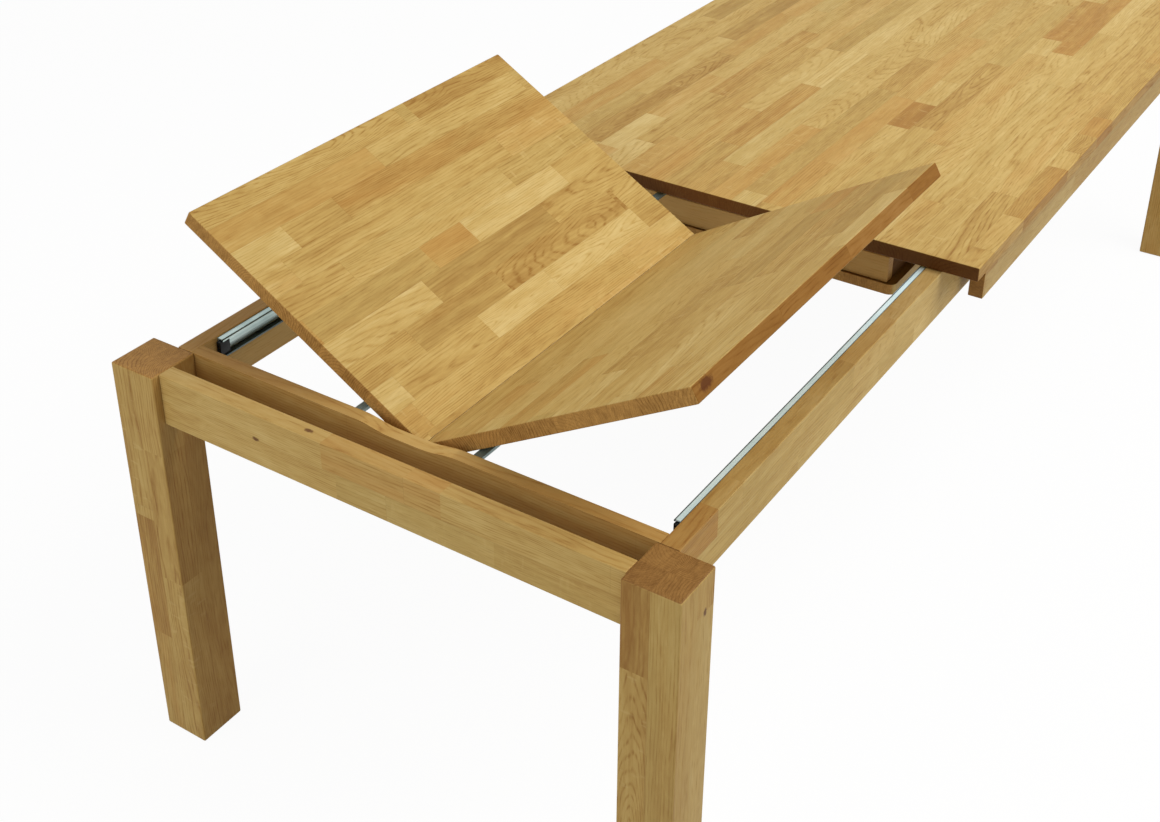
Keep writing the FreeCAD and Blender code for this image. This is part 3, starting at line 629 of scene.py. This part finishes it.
# The face and edge shades below are painted shade: the aprons' sides, the rails' tops, the inner rail's
# slot face and the tray floor lie in shadow.
board_looks = {
    "side_apron_left": {"face_shade": 0.22}, "side_apron_right": {"face_shade": 0.22},
    # The left rail's pale red tones lift its inner face, which lies in shadow: painted light and painted
    # warm bounce.
    "side_rail_left": {"edge_shade": 0.28,
                       "picked": [(1, 0.0, 2.0, 0.84, VERY_RED), (0, 0.0, 2.0, 0.96, VERY_RED)]},
    "side_rail_right": {"edge_shade": 0.28, "face_shade": 0.03, "picked": [
        (1, 0.0, 0.100, 0.14, REDDISH), (1, 0.100, 0.520, 0.50, GREENISH),
        (0, 0.000, 0.340, 0.50, GREENISH), (0, 0.340, 0.760, 0.60, (0.4, 0.15, 0.6))]},
    # The inner rail's red tones paint the warm bounced light in the slot.
    "inner_end_rail": {"face_shade": 0.22, "edge_shade": 0.16,
                       "picked": [(0, 0.0, 1.0, 0.60, VERY_RED), (1, 0.0, 1.0, 0.52, VERY_RED)]},
    "end_apron": {"knots": [((-1.349, 0.215, 0.683), 0.004), ((-1.335, 0.123, 0.7245), 0.005)],
                  "picked": [(1, 0.495, 0.900, 0.58, STRAIGHT), (1, 0.287, 0.495, 0.44, REDDISH),
                             (1, 0.000, 0.287, 0.47, STRAIGHT), (0, 0.471, 0.900, 0.54, STRAIGHT),
                             (0, 0.201, 0.471, 0.55, GREENISH), (0, 0.000, 0.201, 0.39, GREENISH)]},
    "tray_front_wall": {"picked": [(0, 0.0, 1.0, 1.04, (0.8, 1.25, 0.3))]},
    "tray_side_left": painted_deep_shade, "tray_side_right": painted_deep_shade,
    "tray_floor": {"face_shade": 0.70}}
for seed, name in enumerate(("side_apron_left", "side_apron_right", "side_rail_left",
                             "side_rail_right", "slide_beam_left", "slide_beam_right")):
    looks = {"end_shade": SAWN_RAIL_SHADE, **board_looks.get(name, {})}
    dress_board(name, WITH_TABLE_ON_EDGE, RAIL_ROWS, 1, RAIL_STAVE, LONG_RAIL_SEED + seed,
                **looks)
for seed, name in enumerate(("end_apron", "inner_end_rail", "far_end_apron")):
    dress_board(name, ACROSS_ON_EDGE, RAIL_ROWS, 1, RAIL_STAVE, CROSS_RAIL_SEED + seed,
                **board_looks.get(name, {}))
dress_board("tray_floor", WITH_TABLE, TRAY_FLOOR_ROWS, 1, TOP_STAVE, TRAY_FLOOR_SEED,
            **board_looks["tray_floor"])
for seed, name in enumerate(("tray_front_wall", "tray_rear_wall")):
    dress_board(name, ACROSS_ON_EDGE, 1, 1, RAIL_STAVE, TRAY_WALL_SEED + seed,
                **board_looks.get(name, {}))
for seed, name in enumerate(("tray_side_left", "tray_side_right")):
    dress_board(name, WITH_TABLE_ON_EDGE, RAIL_ROWS, 1, RAIL_STAVE, TRAY_SIDE_SEED + seed,
                **board_looks[name])

# %% [markdown]
# ## The leaf
# The two halves stand tilted about the crease, so their local frames take the tilt from the
# hinge's own joint in the frame. The rows run parallel to the crease, and a sliver of a row is
# left beside it, as happens when a wide panel is sawn in two. A layer is counted as twice the
# leaf's thickness, so that both of its faces show the same staves.

# %% Dress the leaf
crease = next(j for j in frame["joints"] if j["name"] == "leaf_left_fold")
TILT = -math.radians(crease["range_deg"][0])
LEAF_ROW, LEAF_ROWS, LEAF_STAVE, CREASE_SLIVER = 0.0487, 10, 0.47, 0.010
LEAF_THICKNESS = 0.0246
leaf_picks = {
    "left": [(5, 0.005, 0.275, 0.34, GREENISH), (2, 0.255, 0.700, 0.78, ARCHED),
             (5, 0.380, 0.640, 0.78, STRAIGHT), (3, 0.350, 0.700, 0.26, (0.9, 0.45, 0.4)),
             (8, 0.000, 0.105, 0.74, STRAIGHT), (10, 0.495, 0.776, 0.24, (0.1, 0.55, 0.2))],
    "right": [(3, 0.670, 0.776, 0.36, REDDISH), (0, 0.440, 0.660, 0.74, STRAIGHT)]}
# The leaf's edges take full painted shade.
LEAF_EDGE_SHADE, LEAF_GLOSS = 1.0, 0.05
leaf_knots = {"left": [], "right": [((-1.2086, -0.4258, 0.9310), 0.010)]}

for side, sign, seed in (("left", 1, 5.0), ("right", -1, 6.0)):
    turn = Euler((sign * TILT, 0.0, 0.0))
    # Full rows start one sliver away from the crease and run out past the edge.
    first_row = CREASE_SLIVER - LEAF_ROW if sign > 0 else -(CREASE_SLIVER + LEAF_ROWS * LEAF_ROW)
    crease_line = Vector((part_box("leaf_half_" + side)[0].x, 0.0, crease["pos_m"][2]))
    corner = crease_line + turn.to_matrix() @ Vector((0.0, first_row, -LEAF_THICKNESS))
    dress("leaf_half_" + side, oak("oak_leaf_" + side, corner, turn, LEAF_ROW, 2 * LEAF_THICKNESS,
                                   LEAF_STAVE, seed, picked=leaf_picks[side],
                                   edge_shade=LEAF_EDGE_SHADE, gloss=LEAF_GLOSS,
                                   knots=leaf_knots[side]))
print("oak boards:", len([m for m in bpy.data.materials if m.name.startswith("oak_")]))

# %% [markdown]
# ## Metal and plastic
# The slides are rolled steel with a blue-bright zinc coat: a metal with a cold tint, faintly
# drawn along its length by the rollers and a little cloudy. The left slide, in the leaf's shadow,
# gets a darker copy of the coat as painted shade. The bearers are the same steel, smoother, and
# coloured darker as painted shade for the shadow they lie in. The mouldings are black plastic
# with a fine spark-eroded grain.
#
# Thin darker lines along a channel's rims, at given distances from the table's middle, and the
# left channel's lower lip are painted shadow: the rims for the shade of the rolled lips, the
# lower lip for the shade under the slide.

# %% Metal and plastic finishes
# Painted shadow: the colour and depth of the dark lines along a channel's rims and lower lip.
PAINTED_RIM_SHADOW, RIM_SHADOW_DEPTH = tint(46, 60, 62), 0.90
DRAWN_PULL, COAT_CLOUD_SCALE = (3.0, 700.0, 700.0), 22.0
MOULD_GRAIN_SCALE, MOULD_FLOW_SCALE, PLASTIC_GLOSS = 2600.0, 60.0, 0.22
METAL_ROUGHNESS_SWING, PLASTIC_ROUGHNESS_SWING = 0.06, 0.08
METAL_RELIEF, PLASTIC_RELIEF, FINE_RELIEF_DEPTH = 0.15, 0.25, 0.0001


def painted_rim_shadows(tree, place, rims, painted_shade_below):
    """Where painted shadow goes: on each (distance, width) line beside the middle, and below a height.
    """
    _, across, up = split_xyz(tree, place)
    mask = calc(tree, "LESS_THAN", up, painted_shade_below)
    for distance, width in rims:
        on_line = calc(tree, "COMPARE", calc(tree, "ABSOLUTE", across), distance, width / 2)
        mask = calc(tree, "MAXIMUM", mask, on_line)
    return mask


def drawn_metal(name, light, dark, roughness, metallic=1.0, rims=(), painted_shade_below=0.0):
    """Metal with streaks along X and slow clouds in its coat."""
    material, tree = blank_material(name)
    place = put(tree, "ShaderNodeTexCoord").outputs["Object"]
    streaks = noise(tree, vector_calc(tree, "MULTIPLY", place, DRAWN_PULL), 1.0, 3.0)
    clouds = noise(tree, place, COAT_CLOUD_SCALE)
    mixed = calc(tree, "MULTIPLY_ADD", streaks, 0.5, calc(tree, "MULTIPLY", clouds, 0.5))
    colour = blend(tree, remap(tree, mixed, 0.35, 0.65), dark, light)
    # Painted shadow on the given rims and below the given height.
    if rims:
        rim_shadow = painted_rim_shadows(tree, place, rims, painted_shade_below)
        colour = blend(tree, calc(tree, "MULTIPLY", rim_shadow, RIM_SHADOW_DEPTH), colour, PAINTED_RIM_SHADOW)
    rough = remap(tree, mixed, 0.3, 0.7, roughness + METAL_ROUGHNESS_SWING,
                  roughness - METAL_ROUGHNESS_SWING)
    surface(tree, colour, rough, streaks, METAL_RELIEF, FINE_RELIEF_DEPTH, {"Metallic": metallic})
    return material


def moulded(name, light, dark, roughness):
    """Plastic with the fine even grain of its mould and faint flow clouds."""
    material, tree = blank_material(name)
    place = put(tree, "ShaderNodeTexCoord").outputs["Object"]
    grain = noise(tree, place, MOULD_GRAIN_SCALE)
    flow = noise(tree, place, MOULD_FLOW_SCALE)
    colour = blend(tree, remap(tree, flow, 0.35, 0.65), dark, light)
    rough = remap(tree, grain, 0.3, 0.7, roughness - PLASTIC_ROUGHNESS_SWING,
                  roughness + PLASTIC_ROUGHNESS_SWING)
    surface(tree, colour, rough, grain, PLASTIC_RELIEF, FINE_RELIEF_DEPTH,
            {"Specular IOR Level": PLASTIC_GLOSS})
    return material


# %% Dress the metal and plastic pieces
# The outer channels reach from 398 to 410 mm beside the middle, and their lower lips up to 694 mm.
# Painted shadow: dark lines along these rims, and the left slide below 694 mm, stand for the shade of
# the rolled lips and under the slide.
CHANNEL_RIMS = ((0.3994, 0.0032), (0.4092, 0.0020))
THIN_RIMS = ((0.3990, 0.0014), (0.4095, 0.0010))
zinc = drawn_metal("zinc_plate", tint(232, 252, 254), tint(204, 230, 234), 0.42, metallic=0.30,
                   rims=CHANNEL_RIMS)
zinc_in_painted_shade = drawn_metal("zinc_in_painted_shade", tint(214, 232, 228), tint(166, 190, 188), 0.38,
                          metallic=0.74, rims=THIN_RIMS, painted_shade_below=0.6942)
# The bearers' darker steel is painted shade for the shadow under the leaf.
bearer_steel_painted_shade = drawn_metal("bearer_steel_painted_shade", tint(140, 158, 156), tint(100, 118, 116), 0.34,
                           metallic=0.55)
brass = drawn_metal("satin_brass", tint(214, 184, 118), tint(186, 152, 88), 0.34)
satin_steel = drawn_metal("satin_steel", tint(176, 176, 174), tint(146, 146, 144), 0.36)
black_plastic = moulded("black_plastic", tint(27, 29, 31), tint(16, 18, 20), 0.40)
glide_plastic = moulded("glide_plastic", tint(74, 66, 58), tint(58, 52, 46), 0.60)

for side in ("left", "right"):
    for part in ("slide_outer_", "slide_middle_", "slide_fixed_"):
        # The left slide, under the leaf, takes the darker copy of the coat: painted shade.
        dress(part + side, zinc_in_painted_shade if side == "left" else zinc)
    dress("leaf_bearer_" + side, bearer_steel_painted_shade)
    dress("bearer_guide_" + side, black_plastic)
    dress("hinge_barrels_" + side, brass)
dress("hinge_links", satin_steel)
dress("bearer_screws", zinc)
dress("near_glides", glide_plastic)
dress("far_glides", glide_plastic)
other_finishes = (zinc, zinc_in_painted_shade, bearer_steel_painted_shade, brass, satin_steel, black_plastic, glide_plastic)
print("metal and plastic:", ", ".join(finish.name for finish in other_finishes))

# %% [markdown]
# ## The slide plugs
# A black plug closes the near end of each outer channel. It starts as a block with eased edges.
# Its outer face is set in from a narrow rim, and a small ring stands in the sunk face, where the
# mould's pin left its mark. Both are modelled, so the plug reads as a moulding from close by.
# The two plugs are the same moulding, so the second is a copy, moved across in its mesh.

# %% Model one plug
PLUG_EASING, EASING_STEPS, SMOOTH_BELOW = 0.0012, 3, math.radians(40)
PLUG_RIM, PLUG_SINK, PLUG_SHORT = 0.0009, 0.0008, 0.009
RING_RADIUS, RING_WIRE, RING_STEPS, WIRE_STEPS = 0.0025, 0.0006, 28, 10
FACES_NEAR_END = -0.99


def select_faces(piece, wanted):
    """In edit mode, select only the faces that wanted says yes to."""
    mesh = bmesh.from_edit_mesh(piece.data)
    for face in mesh.faces:
        face.select_set(bool(wanted(face)))
    mesh.select_flush_mode()
    bmesh.update_edit_mesh(piece.data)


plug_low, plug_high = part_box("slide_stop_left")
plug_low.x += PLUG_SHORT
middle, size = (plug_low + plug_high) / 2, plug_high - plug_low
bpy.ops.object.select_all(action="DESELECT")
bpy.ops.mesh.primitive_cube_add(size=1.0, location=(0.0, 0.0, 0.0))
left_plug = bpy.context.object
left_plug.name = "slide_plug_left"
bpy.ops.object.mode_set(mode="EDIT")
bpy.ops.mesh.select_all(action="SELECT")
bpy.ops.transform.resize(value=size)
bpy.ops.transform.translate(value=middle)
bpy.ops.mesh.bevel(offset=PLUG_EASING, segments=EASING_STEPS, affect="EDGES")
select_faces(left_plug, lambda face: face.normal.x < FACES_NEAR_END)
bpy.ops.mesh.inset(thickness=PLUG_RIM)
bpy.ops.mesh.extrude_region_move(TRANSFORM_OT_translate={"value": (PLUG_SINK, 0.0, 0.0)})
bpy.ops.mesh.primitive_torus_add(
    location=(plug_low.x + PLUG_SINK, middle.y, middle.z), rotation=(0.0, math.pi / 2, 0.0),
    major_radius=RING_RADIUS, minor_radius=RING_WIRE,
    major_segments=RING_STEPS, minor_segments=WIRE_STEPS)
bpy.ops.object.mode_set(mode="OBJECT")
bpy.ops.object.shade_smooth_by_angle(angle=SMOOTH_BELOW)
left_plug.data.materials.append(black_plastic)

# %% Copy it, and put both plugs in place of the plain blocks
right_plug = left_plug.copy()
right_plug.name = "slide_plug_right"
right_plug.data = left_plug.data.copy()
scene.collection.objects.link(right_plug)
left_corner, right_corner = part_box("slide_stop_left")[0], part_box("slide_stop_right")[0]
right_plug.data.transform(Matrix.Translation(right_corner - left_corner))
for side, plug in (("left", left_plug), ("right", right_plug)):
    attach(plug, "end_frame")
    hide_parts("slide_stop_" + side)
    print(plug.name, len(plug.data.polygons), "faces")

# %% [markdown]
# ## The studio
# A wide white floor and a white surround, as in a catalogue. To the camera and to mirror-like
# surfaces the floor glows, so it reads as clean white, while the share that is left to real
# light still carries the table's shadow. The light that falls on the wood comes from two large
# soft lamps and an even grey sky.

# %% Floor
FLOOR_SIZE, FLOOR_GREY = 40.0, (0.66, 0.66, 0.65, 1.0)
WHITE, GLOW, GLOW_SHARE = (1.0, 1.0, 1.0, 1.0), 1.03, 0.92


def seen_directly(tree):
    """One for camera rays and for rays that come by way of metal or glass."""
    rays = put(tree, "ShaderNodeLightPath").outputs
    return calc(tree, "MAXIMUM", rays["Is Camera Ray"],
                calc(tree, "MAXIMUM", rays["Is Glossy Ray"], rays["Is Transmission Ray"]))


bpy.ops.object.select_all(action="DESELECT")
bpy.ops.mesh.primitive_plane_add(size=FLOOR_SIZE, location=(0.0, 0.0, 0.0))
floor = bpy.context.object
floor.name = "floor"

white_floor, tree = blank_material("white_floor")
matt = put(tree, "ShaderNodeBsdfDiffuse", {"Color": FLOOR_GREY})
glow = put(tree, "ShaderNodeEmission", {"Color": WHITE, "Strength": GLOW})
glow_share = calc(tree, "MULTIPLY", seen_directly(tree), GLOW_SHARE)
floor_look = put(tree, "ShaderNodeMixShader", {0: glow_share, 1: matt.outputs[0],
                                               2: glow.outputs[0]})
put(tree, "ShaderNodeOutputMaterial", {"Surface": floor_look.outputs[0]})
floor.data.materials.append(white_floor)
print("floor:", FLOOR_SIZE, "m wide")

# %% Sky and lamps
SKY_WHITE, SKY_STRENGTH = (1.0, 0.99, 0.97, 1.0), 0.42
KEY_PLACE, KEY_AIM, KEY_SIDE, KEY_WATTS = (0.6, -2.6, 4.2), (0.0, 0.0, 0.6), 3.0, 150.0
FILL_PLACE, FILL_AIM, FILL_SIDE, FILL_WATTS = (-4.2, 0.8, 2.2), (0.0, 0.0, 0.5), 2.4, 34.0

world = bpy.data.worlds.new("studio")
scene.world = world
world.use_nodes = True
tree = world.node_tree
tree.nodes.clear()
sky = put(tree, "ShaderNodeBackground", {"Color": SKY_WHITE, "Strength": SKY_STRENGTH})
surround = put(tree, "ShaderNodeBackground", {"Color": WHITE, "Strength": 1.0})
backdrop = put(tree, "ShaderNodeMixShader", {0: seen_directly(tree), 1: sky.outputs[0],
                                             2: surround.outputs[0]})
put(tree, "ShaderNodeOutputWorld", {"Surface": backdrop.outputs[0]})


def soft_lamp(name, place, aim, side, watts):
    """A square softbox at a place, aimed at a point."""
    lamp = bpy.data.lights.new(name, "AREA")
    lamp.shape = "SQUARE"
    lamp.size = side
    lamp.energy = watts
    holder = bpy.data.objects.new(name, lamp)
    scene.collection.objects.link(holder)
    holder.location = place
    holder.rotation_euler = (Vector(place) - Vector(aim)).to_track_quat("Z", "Y").to_euler()


soft_lamp("key_softbox", KEY_PLACE, KEY_AIM, KEY_SIDE, KEY_WATTS)
soft_lamp("fill_softbox", FILL_PLACE, FILL_AIM, FILL_SIDE, FILL_WATTS)
print("studio: sky and", len(bpy.data.lights), "softboxes")
